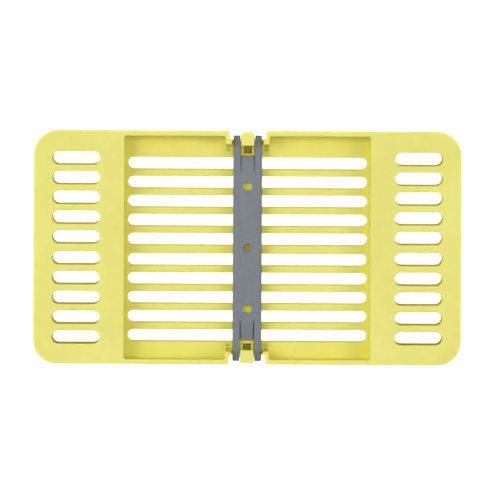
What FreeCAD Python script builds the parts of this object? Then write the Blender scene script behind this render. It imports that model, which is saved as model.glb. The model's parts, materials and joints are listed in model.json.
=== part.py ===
import FreeCAD, Part
import math
import os

# Hinged instrument cassette, closed, lying flat. Millimetres, +Z up.
# X runs along the long side, Y from the latch side (-Y) to the hinge side (+Y).
# Origin: centre of the footprint on the resting plane.

V = FreeCAD.Vector

# ---- driving dimensions -------------------------------------------------
LENGTH = 200.0          # overall, X
WIDTH = 108.8           # overall, Y
HEIGHT = 32.0           # overall, Z, closed
CORNER_R = 11.2         # plan radius of the four corners
WALL = 1.8              # side walls
PLATE = 2.0             # wing plates and well plates
PARTING_Z = 16.0        # where lid and base meet
PARTING_GAP = 0.2       # daylight between the two rims

WELL_X = 57.5           # half length of the sunken middle
WELL_WALL = 2.3         # long side walls beside the sunken middle
WELL_DEPTH = 8.5        # how far the well lies under the wings
EDGE_R = 1.0            # rounding of the outer top and bottom edges
FOOT_R = 0.3            # rounding at the foot of the well's walls
RIM_R = 0.85            # rounding of the inner rim edges
SLOT_R = 0.45           # rounding of the slot edges

WING_SLOT = (68.8, 91.2, 6.3)      # inner end, outer end, width
WING_Y = (4.91, 14.15, 23.39, 32.63, 41.87)
WELL_SLOT = (4.7, 55.9, 5.7)     # the same for the rows in the sunken middle
WELL_SHIFT = -0.8       # the middle rows sit this far towards the latch side
WELL_Y = (4.78, 13.65, 22.52, 31.39, 40.26)

NOTCH_X = 8.65          # half width of the notch in each long side
NOTCH_Y = 50.2          # outer face of the set-back wall in the notch
NOTCH_IN_X = 10.35      # inner face of the notch's cheeks
NOTCH_IN_Y = 48.3       # inner face of the set-back wall

POST_X = 3.0            # half width of the post in each notch, at its inner face
POST_OUT_X = 3.2        # the same near its outer face, on the latch side
POST_WIDE_Y = 52.2      # where the post is widest
POST_Y = (47.8, 53.75)
POST_Z = (0.6, 31.2)
BOX_X = 2.9             # thin-walled socket behind each post
BOX_Y = 43.4
BOX_TOP = 26.4
SOCKET_X = 1.95
SOCKET_Y = (44.7, 44.0) # inner end, latch side and hinge side
SOCKET_FLOOR = 17.0
POST_GAP_X = 3.5        # opening in the lid round the post's socket
POST_GAP_Y = 42.9

PIN_Y = 50.2            # axis of the two cross pins
PIN_Z = 25.8
PIN_R = 1.0
EYE_R = 1.05            # running fit of the bar's eyes on the hinge pin
SNAP_R = 1.2            # seat of the bar's hooks over the latch pin
SNAP_MOUTH = 1.15       # half width of the hooks' mouths

BAR_X = 6.7             # half width of the bar
BAR_END = (-52.9, 52.5) # prong tips, latch side and hinge side
BAR_Z = (23.5, 28.1)
BAR_PLATE = 2.0
BAR_FLANGE = 1.8
PRONG_X = 3.4           # inner face of each prong along the tongue
PRONG_TIP_X = 3.6       # inner face at the tip, where the fork opens
PRONG_OUT_TIP_X = (6.65, 6.5)      # outer face at the tip, latch side and hinge side
PRONG_GAP = 0.8         # daylight between a prong and the lid beside it
TONGUE_Y = 42.95        # end of the tongue between the prongs
TONGUE_START = 35.0
TONGUE_DROP = 0.9
SLIT_X = 2.95           # slits that free the prongs from the tongue, deepening outwards
SLIT = ((34.0, 0.0), (36.5, 2.0), (44.0, 3.2))      # latch side: distance from the middle, depth
SLIT_HINGE = ((34.5, 0.0), (38.0, 0.7), (44.0, 1.5))
SOLID_Y = 32.5          # the bar is solid beyond this
PEG_Y = 28.6
PEG_R = 2.0
PEG_TOP = 26.1
PEG_HOLE_R = 2.2
MID_HOLE_R = 1.95
BOSS_R = 3.2
GROOVE_X = (7.2, 9.6)   # two short grooves in the well floor beside each prong
GROOVE_Y = (45.7, 47.45)
GROOVE_W = 0.9
GROOVE_DEPTH = 1.1
THROAT_Z = 9.5          # the base's set-back wall is open above this under the prongs

RAIL_X = (59.4, 67.4)   # instrument rails
RAIL_Y = 47.3
RAIL_TOP = 15.7
SEAT_R = 3.3            # instrument seats in the rails
SEAT_DEPTH = 4.9
TOOTH_R = 1.0
RIB_X = (67.5, 68.7)    # ribs that hold the rails
RIB_Y = (47.4, 48.6)
RIB_H = 3.0

PARTS = "parts"


# ---- helpers ------------------------------------------------------------
def box(x0, x1, y0, y1, z0, z1):
    x0, x1 = min(x0, x1), max(x0, x1)
    y0, y1 = min(y0, y1), max(y0, y1)
    return Part.makeBox(x1 - x0, y1 - y0, z1 - z0, V(x0, y0, z0))


def rounded_rect(x0, x1, y0, y1, z0, z1, r):
    """Upright prism with rounded plan corners."""
    k = r * (1 - math.sqrt(0.5))
    p = [
        V(x0 + r, y0, z0), V(x1 - r, y0, z0), V(x1, y0 + r, z0), V(x1, y1 - r, z0),
        V(x1 - r, y1, z0), V(x0 + r, y1, z0), V(x0, y1 - r, z0), V(x0, y0 + r, z0),
    ]
    m = [V(x1 - k, y0 + k, z0), V(x1 - k, y1 - k, z0), V(x0 + k, y1 - k, z0), V(x0 + k, y0 + k, z0)]
    edges = []
    for i in range(4):
        a, b, c = p[2 * i], p[2 * i + 1], p[(2 * i + 2) % 8]
        if (a - b).Length > 1e-6:
            edges.append(Part.LineSegment(a, b).toShape())
        edges.append(Part.Arc(b, m[i], c).toShape())
    return Part.Face(Part.Wire(edges)).extrude(V(0, 0, z1 - z0))


def prism(points, z0, z1):
    """Upright prism on a polygon."""
    pts = [V(x, y, z0) for x, y in points]
    return Part.Face(Part.makePolygon(pts + pts[:1])).extrude(V(0, 0, z1 - z0))


def stadium(x0, x1, yc, width, z0, z1):
    """Upright prism with a slot's outline, running along X."""
    x0, x1 = min(x0, x1), max(x0, x1)
    r = width / 2
    a, b = V(x0 + r, yc - r, z0), V(x1 - r, yc - r, z0)
    c, d = V(x1 - r, yc + r, z0), V(x0 + r, yc + r, z0)
    wire = Part.Wire([
        Part.LineSegment(a, b).toShape(),
        Part.Arc(b, V(x1, yc, z0), c).toShape(),
        Part.LineSegment(c, d).toShape(),
        Part.Arc(d, V(x0, yc, z0), a).toShape(),
    ])
    return Part.Face(wire).extrude(V(0, 0, z1 - z0))


def is_upright(e):
    a, b = e.BoundBox, 1e-4
    return a.XLength < b and a.YLength < b and a.ZLength > b


def round_upright(shape, r, where=lambda x, y: True):
    """Rounds the upright edges that stand at the chosen places."""
    chosen = [e for e in shape.Edges if is_upright(e) and where(e.BoundBox.XMin, e.BoundBox.YMin)]
    return shape.makeFillet(r, chosen)


def round_flat(shape, r, z, where):
    """Rounds the edges that lie in the plane z and whose middle is at a chosen place."""
    chosen = []
    for e in shape.Edges:
        bb = e.BoundBox
        if bb.ZLength < 1e-4 and abs(bb.ZMin - z) < 1e-4:
            mid = e.valueAt((e.FirstParameter + e.LastParameter) / 2)
            if where(mid.x, mid.y, e):
                chosen.append(e)
    return shape.makeFillet(r, chosen)


def one(shape):
    """The single solid of a boolean's result."""
    shape = shape.removeSplitter()
    solids = shape.Solids
    if len(solids) != 1:
        raise ValueError("%d solids" % len(solids))
    return solids[0]


def export(name, shape):
    if not shape.isValid():
        raise ValueError(name + " is not valid")
    shape.exportStep(os.path.join(PARTS, name + ".step"))
    bb = shape.optimalBoundingBox()
    print("%-18s %8.1f mm3  x %.2f..%.2f  y %.2f..%.2f  z %.2f..%.2f" % (
        name, shape.Volume, bb.XMin, bb.XMax, bb.YMin, bb.YMax, bb.ZMin, bb.ZMax))


ENDS = (-1, 1)


# ---- shells -------------------------------------------------------------
def notch_blocks(x, y, z0, z1):
    return [box(-x, x, s * y, s * (WIDTH / 2 + 5), z0, z1) for s in ENDS]


def shell(lid):
    """One half of the case, modelled as the upper half. The lower half is its mirror image about the parting plane."""
    rim = PARTING_Z + PARTING_GAP / 2
    floor_top = HEIGHT - WELL_DEPTH
    floor_low = floor_top - PLATE

    body = rounded_rect(-LENGTH / 2, LENGTH / 2, -WIDTH / 2, WIDTH / 2, rim, HEIGHT, CORNER_R)
    for b in notch_blocks(NOTCH_X, NOTCH_Y, rim - 1, HEIGHT + 1):
        body = body.cut(b)
    body = round_upright(body, 0.7, lambda x, y: abs(x) < NOTCH_X + 0.1)

    # sunken middle, seen from outside
    well = box(-WELL_X, WELL_X, -(WIDTH / 2 - WELL_WALL), WIDTH / 2 - WELL_WALL, floor_top, HEIGHT + 1)
    for b in notch_blocks(NOTCH_IN_X, NOTCH_IN_Y, floor_top - 1, HEIGHT + 2):
        well = well.cut(b)
    well = round_upright(well, 0.95)
    body = body.cut(well)

    # hollow inside: low under the well, full height under the wings
    ix, iy, ir = LENGTH / 2 - WALL, WIDTH / 2 - WALL, CORNER_R - WALL
    low = rounded_rect(-ix, ix, -iy, iy, rim - 1, floor_low, ir)
    for b in notch_blocks(NOTCH_IN_X, NOTCH_IN_Y, rim - 2, HEIGHT):
        low = low.cut(b)
    high = rounded_rect(-ix, ix, -iy, iy, rim, HEIGHT - PLATE, ir)
    high = high.cut(box(-WELL_X - WALL, WELL_X + WALL, -iy - 1, iy + 1, rim - 1, HEIGHT))
    body = body.cut(low).cut(high)

    # slots through wings and well
    cuts = []
    for s in ENDS:
        for y in WING_Y:
            for t in ENDS:
                cuts.append(stadium(s * WING_SLOT[0], s * WING_SLOT[1], t * y, WING_SLOT[2], HEIGHT - PLATE - 1, HEIGHT + 1))
        for y in WELL_Y:
            for t in ENDS:
                cuts.append(stadium(s * WELL_SLOT[0], s * WELL_SLOT[1], t * y + WELL_SHIFT, WELL_SLOT[2], floor_low - 1, floor_top + 1))
    body = body.cut(Part.makeCompound(cuts))

    # rounded edges on the outside
    iy_rim = WIDTH / 2 - WELL_WALL

    def outer(x, y, e):
        on_side = abs(abs(y) - WIDTH / 2) < 1e-3 or abs(abs(x) - LENGTH / 2) < 1e-3
        corner = abs(x) > LENGTH / 2 - CORNER_R and abs(y) > WIDTH / 2 - CORNER_R
        return on_side or corner

    def notch(x, y, e):
        return abs(x) < NOTCH_X + 0.01 and abs(y) > NOTCH_Y - 0.01 and abs(y) < WIDTH / 2 - 1e-3

    body = round_flat(body, EDGE_R * 0.7, HEIGHT, lambda x, y, e: outer(x, y, e) or notch(x, y, e))
    body = round_flat(body, RIM_R, HEIGHT, lambda x, y, e: abs(x) < WELL_X + 0.01 and abs(y) < iy_rim + 0.01
                      and (abs(abs(x) - WELL_X) < 1 or abs(y) > NOTCH_IN_Y - 0.01) and not notch(x, y, e))

    def foot(x, y, e):
        on_wall = abs(abs(y) - iy_rim) < 1e-3 or abs(abs(x) - WELL_X) < 1e-3 or abs(abs(x) - NOTCH_IN_X) < 1e-3 or abs(abs(y) - NOTCH_IN_Y) < 1e-3
        corner = (abs(x) > WELL_X - 0.95 or abs(abs(x) - NOTCH_IN_X) < 0.95) and abs(y) > NOTCH_IN_Y - 0.95
        return on_wall or corner

    body = round_flat(body, FOOT_R, floor_top, foot)

    def slot_edge(x, y, e):
        wing = WING_SLOT[0] - 0.01 < abs(x) < WING_SLOT[1] + 0.01 and abs(y) < WING_Y[-1] + 3
        return wing

    body = round_flat(body, SLOT_R, HEIGHT, slot_edge)
    body = round_flat(body, SLOT_R, floor_top, lambda x, y, e: abs(x) < WELL_SLOT[1] + 0.01 and abs(y) < WELL_Y[-1] + 4)

    if lid:
        cuts = []
        for s in ENDS:
            # room for the post and for the prongs beside it
            cuts.append(round_upright(box(-POST_GAP_X, POST_GAP_X, s * POST_GAP_Y, s * (WIDTH / 2 + 5), rim - 1, HEIGHT + 1), 0.4,
                                      lambda x, y: abs(y) < 50))
            cuts.append(box(-BAR_X - PRONG_GAP, BAR_X + PRONG_GAP, s * (NOTCH_IN_Y - 0.2), s * (WIDTH / 2 + 5), rim - 1, HEIGHT + 1))
            cuts.append(box(-BAR_X - PRONG_GAP, BAR_X + PRONG_GAP, s * (NOTCH_IN_Y - FOOT_R - 0.05), s * (WIDTH / 2 + 5), floor_top, HEIGHT + 1))
        for i in range(3):
            body = body.cut(Part.makeCompound(cuts[i::3]))

    # ribs that hold the instrument rails
    for s in ENDS:
        top = HEIGHT - PLATE
        ribs = [box(s * RIB_X[0], s * RIB_X[1], -RIB_Y[1], RIB_Y[1], top - RIB_H, top + 0.5)]
        for t in ENDS:
            ribs.append(box(s * (WELL_X + WALL - 0.5), s * RIB_X[1], t * RIB_Y[0], t * RIB_Y[1], top - RIB_H, top + 0.5))
        for rib in ribs:
            body = body.fuse(rib)
    return one(body)


def lid_shell():
    body = shell(True)
    z = HEIGHT - WELL_DEPTH
    for s in ENDS:
        boss = Part.makeCylinder(BOSS_R, BAR_Z[1] - BAR_PLATE - z + 0.5, V(0, s * PEG_Y, z - 0.5))
        peg = Part.makeCylinder(PEG_R, PEG_TOP - z + 0.5, V(0, s * PEG_Y, z - 0.5))
        peg = round_flat(peg, 0.5, PEG_TOP, lambda x, y, e: True)
        body = body.fuse(boss).fuse(peg)
        for t in ENDS:
            for y in GROOVE_Y:
                body = body.cut(box(t * GROOVE_X[0], t * GROOVE_X[1], s * (y - GROOVE_W / 2), s * (y + GROOVE_W / 2), z - GROOVE_DEPTH, z + 1))
    # the hinge-side rim tapers away, so that it clears the base as the lid swings
    rim = PARTING_Z
    y0, y1 = PIN_Y - 1.2, WIDTH / 2 + 0.1
    wedge = Part.Face(Part.makePolygon([
        V(-LENGTH, y0, rim - 1), V(-LENGTH, y1, rim - 1), V(-LENGTH, y1, rim + 1.3), V(-LENGTH, y0, rim), V(-LENGTH, y0, rim - 1),
    ])).extrude(V(2 * LENGTH, 0, 0))
    return one(body.cut(wedge))


def base_shell():
    body = shell(False).mirror(V(0, 0, PARTING_Z), V(0, 0, 1))
    floor_low = WELL_DEPTH
    for s in ENDS:
        # the hinge-side post is straight, so that the fork can turn about it, and broadly chamfered outside;
        # the latch-side post widens outwards between the prongs and is nearly square
        wide, cx, cy = (POST_X + 0.2, 1.2, 1.3) if s > 0 else (POST_OUT_X, 0.4, 0.4)
        y_in, y_wide, y_out = POST_Y[0], POST_WIDE_Y, POST_Y[1]
        half = [(POST_X, y_in), (wide, y_wide), (wide, y_out - cy), (wide - cx, y_out)]
        body = body.cut(box(-BAR_X - PRONG_GAP, BAR_X + PRONG_GAP, s * (NOTCH_IN_Y - 0.2), s * (NOTCH_Y + 1), THROAT_Z, PARTING_Z))
        tab = prism([(x, s * y) for x, y in half] + [(-x, s * y) for x, y in reversed(half)], POST_Z[0], POST_Z[1])
        tab = round_upright(tab, 0.25, lambda x, y: abs(y) > POST_Y[1] - 2)
        tab = round_flat(tab, 0.4, POST_Z[1], lambda x, y, e: True)
        socket = box(-BOX_X, BOX_X, s * BOX_Y, s * (POST_Y[0] + 0.2), floor_low, BOX_TOP)
        body = body.fuse(socket).fuse(tab)
        body = body.cut(box(-SOCKET_X, SOCKET_X, s * SOCKET_Y[s > 0], s * POST_Y[0], SOCKET_FLOOR, BOX_TOP + 1))
        body = body.cut(Part.makeCylinder(PIN_R, 20, V(-10, s * PIN_Y, PIN_Z), V(1, 0, 0)))
    return one(body)


# ---- bar ----------------------------------------------------------------
def locking_bar():
    z0, z1 = BAR_Z
    y1, (latch, hinge) = NOTCH_IN_Y, BAR_END
    xl, xh = PRONG_OUT_TIP_X
    outline = [(BAR_X, -y1), (BAR_X, y1), (xh, hinge), (-xh, hinge), (-BAR_X, y1), (-BAR_X, -y1), (-xl, latch), (xl, latch)]
    body = prism(outline, z0, z1)
    body = round_upright(body, 0.7, lambda x, y: abs(y) > hinge - 0.1)
    body = round_flat(body, 0.6, z1, lambda x, y, e: True)
    for s in ENDS:
        # fork, which opens a little towards the tips
        tip, end = PRONG_TIP_X, abs(BAR_END[0 if s < 0 else 1])
        body = body.cut(prism([(-PRONG_X, s * TONGUE_Y), (PRONG_X, s * TONGUE_Y), (PRONG_X, s * POST_Y[0]), (tip, s * end), (tip, s * (end + 1)),
                               (-tip, s * (end + 1)), (-tip, s * end), (-PRONG_X, s * POST_Y[0])], z0 - 1, z1 + 1))
        # tongue that falls away between the prongs
        wedge = Part.Face(Part.makePolygon([
            V(-SLIT_X, s * TONGUE_START, z1), V(-SLIT_X, s * TONGUE_START, z1 + 2),
            V(-SLIT_X, s * (TONGUE_Y + 1), z1 + 2), V(-SLIT_X, s * (TONGUE_Y + 1), z1 - TONGUE_DROP),
            V(-SLIT_X, s * TONGUE_START, z1),
        ])).extrude(V(2 * SLIT_X, 0, 0))
        body = body.cut(wedge)
        slit = SLIT if s < 0 else SLIT_HINGE
        for t in ENDS:
            pts = [V(t * SLIT_X, s * y, z1 - d) for y, d in slit]
            pts += [V(t * SLIT_X, s * slit[-1][0], z1 + 1), V(t * SLIT_X, s * slit[0][0], z1 + 1), pts[0]]
            body = body.cut(Part.Face(Part.makePolygon(pts)).extrude(V(t * (PRONG_X - SLIT_X), 0, 0)))
        body = body.cut(Part.makeCylinder(PEG_HOLE_R, 20, V(0, s * PEG_Y, z0 - 5)))
    body = body.cut(Part.makeCylinder(MID_HOLE_R, 20, V(0, 0, z0 - 5)))
    # hollow underside
    inner = BAR_X - BAR_FLANGE
    body = body.cut(box(-inner, inner, -SOLID_Y, SOLID_Y, z0 - 1, z1 - BAR_PLATE))
    # eyes on the hinge side, open hooks on the latch side
    body = body.cut(Part.makeCylinder(EYE_R, 20, V(-10, PIN_Y, PIN_Z), V(1, 0, 0)))
    body = body.cut(Part.makeCylinder(SNAP_R, 20, V(-10, -PIN_Y, PIN_Z), V(1, 0, 0)))
    body = body.cut(box(-10, 10, -PIN_Y - SNAP_MOUTH, -PIN_Y + SNAP_MOUTH, z0 - 1, PIN_Z))
    return one(body)


def pin(y):
    length = 2 * (BAR_X - 0.15)
    body = Part.makeCylinder(PIN_R, length, V(-length / 2, y, PIN_Z), V(1, 0, 0))
    ends = [e for e in body.Edges if e.BoundBox.XLength < 1e-4 and e.BoundBox.YLength > 1]
    return body.makeChamfer(0.2, ends)


# ---- rails --------------------------------------------------------------
def rail(side, lid):
    x0, x1 = sorted((side * RAIL_X[0], side * RAIL_X[1]))
    body = box(x0, x1, -RAIL_Y, RAIL_Y, PLATE, RAIL_TOP)
    seat_z = RAIL_TOP - SEAT_DEPTH + SEAT_R
    for y in WING_Y:
        for t in ENDS:
            body = body.cut(Part.makeCylinder(SEAT_R, x1 - x0 + 2, V(x0 - 1, t * y, seat_z), V(1, 0, 0)))
            body = body.cut(box(x0 - 1, x1 + 1, t * y - SEAT_R, t * y + SEAT_R, seat_z, RAIL_TOP + 1))
    tips = [e for e in body.Edges if abs(e.BoundBox.ZMin - RAIL_TOP) < 1e-4 and e.BoundBox.XLength > 1]
    body = one(body.makeFillet(TOOTH_R, tips))
    if lid:
        body = body.mirror(V(0, 0, PARTING_Z), V(0, 0, 1))
    return one(body)


def main():
    os.makedirs(PARTS, exist_ok=True)
    export("base_shell", base_shell())
    export("lid_shell", lid_shell())
    export("locking_bar", locking_bar())
    export("hinge_pin", pin(PIN_Y))
    export("latch_pin", pin(-PIN_Y))
    export("base_rail_left", rail(-1, False))
    export("base_rail_right", rail(1, False))
    export("lid_rail_left", rail(-1, True))
    export("lid_rail_right", rail(1, True))


main()
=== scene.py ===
import json
import math

import bpy
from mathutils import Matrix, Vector

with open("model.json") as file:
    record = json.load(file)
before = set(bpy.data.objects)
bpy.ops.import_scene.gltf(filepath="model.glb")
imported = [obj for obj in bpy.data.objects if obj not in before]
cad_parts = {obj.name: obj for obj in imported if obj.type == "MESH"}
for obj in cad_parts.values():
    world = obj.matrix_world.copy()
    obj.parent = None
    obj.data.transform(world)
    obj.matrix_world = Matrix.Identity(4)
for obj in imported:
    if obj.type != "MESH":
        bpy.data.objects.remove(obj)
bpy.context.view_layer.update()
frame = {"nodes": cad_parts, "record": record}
NODES = frame["nodes"]


# ---- camera: straight above, long lens ----------------------------------
MM = 0.001
SCALE = 0.4673 * MM                # metres per pixel of the 500 px frame at the wing level
TOP_Z = 0.032
DIST = 7.0
TILT = math.radians(1.3)           # the camera stands a little to the +Y side
ROLL = math.radians(0.29)
centre = Vector(((250 - 247.3) * SCALE, -(250 - 248.1) * SCALE, TOP_Z))
cam_data = bpy.data.cameras.new("camera")
cam = bpy.data.objects.new("camera", cam_data)
bpy.context.scene.collection.objects.link(cam)
cam_data.sensor_width = 36
cam_data.sensor_fit = "HORIZONTAL"
cam_data.lens = 36 * DIST / (500 * SCALE)
cam_data.clip_end = 40
cam.location = centre + Vector((-math.sin(ROLL) * math.sin(TILT), math.cos(ROLL) * math.sin(TILT), math.cos(TILT))) * DIST
cam.rotation_euler = (-TILT, 0, ROLL)
bpy.context.scene.camera = cam

scene = bpy.context.scene
scene.view_settings.view_transform = "Standard"
scene.view_settings.look = "None"


# ---- materials ----------------------------------------------------------
def new_material(name):
    m = bpy.data.materials.new(name)
    m.use_nodes = True
    nt = m.node_tree
    nt.nodes.clear()
    out = nt.nodes.new("ShaderNodeOutputMaterial")
    bsdf = nt.nodes.new("ShaderNodeBsdfPrincipled")
    nt.links.new(bsdf.outputs["BSDF"], out.inputs["Surface"])
    return m, nt, bsdf


def coords(nt, scale):
    """Object coordinates, which are the frame's own metres, stretched per axis."""
    tc = nt.nodes.new("ShaderNodeTexCoord")
    mp = nt.nodes.new("ShaderNodeMapping")
    mp.inputs["Scale"].default_value = scale
    nt.links.new(tc.outputs["Object"], mp.inputs["Vector"])
    return mp.outputs["Vector"]


def noise(nt, vec, scale, detail=3.0, rough=0.55):
    n = nt.nodes.new("ShaderNodeTexNoise")
    n.inputs["Scale"].default_value = scale
    n.inputs["Detail"].default_value = detail
    n.inputs["Roughness"].default_value = rough
    nt.links.new(vec, n.inputs["Vector"])
    return n.outputs["Fac"]


def ramp(nt, fac, stops):
    r = nt.nodes.new("ShaderNodeValToRGB")
    el = r.color_ramp.elements
    while len(el) > len(stops):
        el.remove(el[-1])
    while len(el) < len(stops):
        el.new(1.0)
    for e, (p, c) in zip(el, stops):
        e.position = p
        e.color = (*c, 1)
    nt.links.new(fac, r.inputs["Fac"])
    return r.outputs["Color"]


def mix(nt, a, b, fac, mode="MIX"):
    m = nt.nodes.new("ShaderNodeMix")
    m.data_type = "RGBA"
    m.blend_type = mode
    if isinstance(fac, float):
        m.inputs[0].default_value = fac
    else:
        nt.links.new(fac, m.inputs[0])
    for sock, v in ((m.inputs[6], a), (m.inputs[7], b)):
        if isinstance(v, tuple):
            sock.default_value = (*v, 1)
        else:
            nt.links.new(v, sock)
    return m.outputs[2]


def spread(nt, fac, lo, hi):
    m = nt.nodes.new("ShaderNodeMapRange")
    m.inputs["From Min"].default_value = 0.3
    m.inputs["From Max"].default_value = 0.7
    m.inputs["To Min"].default_value = lo
    m.inputs["To Max"].default_value = hi
    nt.links.new(fac, m.inputs["Value"])
    return m.outputs["Result"]


def ao_painted_shade_mask(nt, reach, lo, hi, curve="SMOOTHSTEP"):
    """0 in tight corners and recesses, 1 on open faces; the mask for painted shade in base colours."""
    ao = nt.nodes.new("ShaderNodeAmbientOcclusion")
    ao.samples = 8
    ao.inputs["Distance"].default_value = reach
    m = nt.nodes.new("ShaderNodeMapRange")
    m.interpolation_type = curve
    m.inputs["From Min"].default_value = lo
    m.inputs["From Max"].default_value = hi
    nt.links.new(ao.outputs["AO"], m.inputs["Value"])
    return m.outputs["Result"]


def bump(nt, bsdf, height, strength, distance):
    b = nt.nodes.new("ShaderNodeBump")
    b.inputs["Strength"].default_value = strength
    b.inputs["Distance"].default_value = distance
    nt.links.new(height, b.inputs["Height"])
    nt.links.new(b.outputs["Normal"], bsdf.inputs["Normal"])


def yellow_plastic():
    m, nt, bsdf = new_material("yellow_plastic")
    v = coords(nt, (1, 1, 1))
    cloud = noise(nt, v, 22, 4, 0.6)
    fine = noise(nt, v, 260, 3, 0.6)
    grain = noise(nt, v, 2600, 2, 0.5)
    base = ramp(nt, cloud, [(0.30, (0.662, 0.624, 0.134)), (0.52, (0.692, 0.656, 0.149)), (0.74, (0.716, 0.682, 0.168))])
    base = mix(nt, base, ramp(nt, fine, [(0.3, (0.93, 0.93, 0.90)), (0.7, (1.0, 1.0, 1.0))]), 0.45, "MULTIPLY")
    # painted shade: the base colour is multiplied darker and more saturated yellow in recesses and under the
    # rims, by an ambient-occlusion mask
    base = mix(nt, mix(nt, base, (0.97, 0.93, 0.30), 1.0, "MULTIPLY"), base, ao_painted_shade_mask(nt, 0.026, 0.45, 1.0, "LINEAR"))
    nt.links.new(base, bsdf.inputs["Base Color"])
    nt.links.new(spread(nt, fine, 0.52, 0.64), bsdf.inputs["Roughness"])
    bsdf.inputs["Specular IOR Level"].default_value = 0.6
    bsdf.inputs["Subsurface Weight"].default_value = 0.40
    bsdf.inputs["Subsurface Radius"].default_value = (1.0, 0.85, 0.2)
    bsdf.inputs["Subsurface Scale"].default_value = 0.003
    bump(nt, bsdf, grain, 0.12, 0.00006)
    return m


def grey_plastic():
    m, nt, bsdf = new_material("grey_plastic")
    v = coords(nt, (1, 1, 1))
    long = coords(nt, (3.2, 0.7, 2.0))
    streak = noise(nt, long, 75, 5, 0.62)
    spots = noise(nt, v, 420, 4, 0.65)
    grain = noise(nt, v, 3000, 2, 0.5)
    base = ramp(nt, streak, [(0.32, (0.084, 0.104, 0.126)), (0.5, (0.107, 0.129, 0.149)), (0.70, (0.141, 0.163, 0.182))])
    base = mix(nt, base, ramp(nt, spots, [(0.32, (0.80, 0.81, 0.83)), (0.62, (1.0, 1.0, 1.0))]), 0.6, "MULTIPLY")
    # painted shade: the grey base colour is multiplied darker in tight corners and crevices by an
    # ambient-occlusion mask
    base = mix(nt, mix(nt, base, (0.62, 0.62, 0.62), 1.0, "MULTIPLY"), base, ao_painted_shade_mask(nt, 0.004, 0.30, 0.95))
    nt.links.new(base, bsdf.inputs["Base Color"])
    nt.links.new(spread(nt, streak, 0.34, 0.50), bsdf.inputs["Roughness"])
    bsdf.inputs["Specular IOR Level"].default_value = 0.55
    bump(nt, bsdf, spots, 0.18, 0.00010)
    return m


def silicone():
    m, nt, bsdf = new_material("grey_silicone")
    v = coords(nt, (1, 1, 1))
    cloud = noise(nt, v, 60, 3, 0.6)
    grain = noise(nt, v, 1500, 3, 0.6)
    base = ramp(nt, cloud, [(0.3, (0.215, 0.235, 0.250)), (0.7, (0.285, 0.305, 0.320))])
    nt.links.new(base, bsdf.inputs["Base Color"])
    nt.links.new(spread(nt, grain, 0.62, 0.78), bsdf.inputs["Roughness"])
    bsdf.inputs["Sheen Weight"].default_value = 0.15
    bump(nt, bsdf, grain, 0.15, 0.00008)
    return m


def steel():
    m, nt, bsdf = new_material("steel")
    v = coords(nt, (0.4, 6, 6))
    lines = noise(nt, v, 900, 4, 0.6)
    base = ramp(nt, lines, [(0.3, (0.50, 0.50, 0.50)), (0.7, (0.66, 0.66, 0.65))])
    nt.links.new(base, bsdf.inputs["Base Color"])
    bsdf.inputs["Metallic"].default_value = 1.0
    nt.links.new(spread(nt, lines, 0.24, 0.38), bsdf.inputs["Roughness"])
    bump(nt, bsdf, lines, 0.10, 0.00002)
    return m


MATERIAL = {"yellow_plastic": yellow_plastic(), "grey_plastic": grey_plastic(), "grey_silicone": silicone(), "steel": steel()}
for part in frame["record"]["subparts"]:
    o = NODES[part["node"]]
    o.data.materials.clear()
    o.data.materials.append(MATERIAL[part["material_slot"]])
    for p in o.data.polygons:
        p.use_smooth = True
        p.material_index = 0
    weld = o.modifiers.new("weld", "WELD")
    weld.merge_threshold = 1e-6
    split = o.modifiers.new("split", "EDGE_SPLIT")
    split.split_angle = math.radians(32)

# ---- floor, light -------------------------------------------------------
bpy.ops.mesh.primitive_plane_add(size=60, location=(0, 0, 0))
floor = bpy.context.object
floor.name = "floor"
m, nt, bsdf = new_material("floor")
bsdf.inputs["Base Color"].default_value = (0.55, 0.55, 0.55, 1)
bsdf.inputs["Roughness"].default_value = 0.9
bsdf.inputs["Specular IOR Level"].default_value = 0.1
bsdf.inputs["Emission Color"].default_value = (1, 1, 1, 1)
bsdf.inputs["Emission Strength"].default_value = 0.82
floor.data.materials.append(m)

world = bpy.data.worlds.new("world")
scene.world = world
world.use_nodes = True
world.node_tree.nodes["Background"].inputs["Color"].default_value = (1, 1, 1, 1)
# bright near the horizon, dimmer overhead, where the softboxes take over
wt = world.node_tree
direction = wt.nodes.new("ShaderNodeTexCoord")
parts = wt.nodes.new("ShaderNodeSeparateXYZ")
fade = wt.nodes.new("ShaderNodeMapRange")
fade.interpolation_type = "SMOOTHSTEP"
for name, value in (("From Min", 0.12), ("From Max", 0.48), ("To Min", 0.85), ("To Max", 0.18)):
    fade.inputs[name].default_value = value
wt.links.new(direction.outputs["Generated"], parts.inputs["Vector"])
wt.links.new(parts.outputs["Z"], fade.inputs["Value"])
wt.links.new(fade.outputs["Result"], wt.nodes["Background"].inputs["Strength"])


def area(name, loc, size, power, target=(0, 0, 0)):
    d = bpy.data.lights.new(name, "AREA")
    d.shape = "RECTANGLE"
    d.size, d.size_y = size
    d.energy = power
    o = bpy.data.objects.new(name, d)
    bpy.context.scene.collection.objects.link(o)
    o.location = loc
    o.rotation_euler = (Vector(target) - Vector(loc)).to_track_quat("-Z", "Y").to_euler()
    return o


area("left", (-1.2, 0.22, 1.2), (1.0, 1.0), 16.8)
area("right", (1.3, 0.05, 0.95), (0.6, 0.6), 9.6)
area("top", (0.0, 0.08, 1.5), (0.45, 1.0), 8.2)
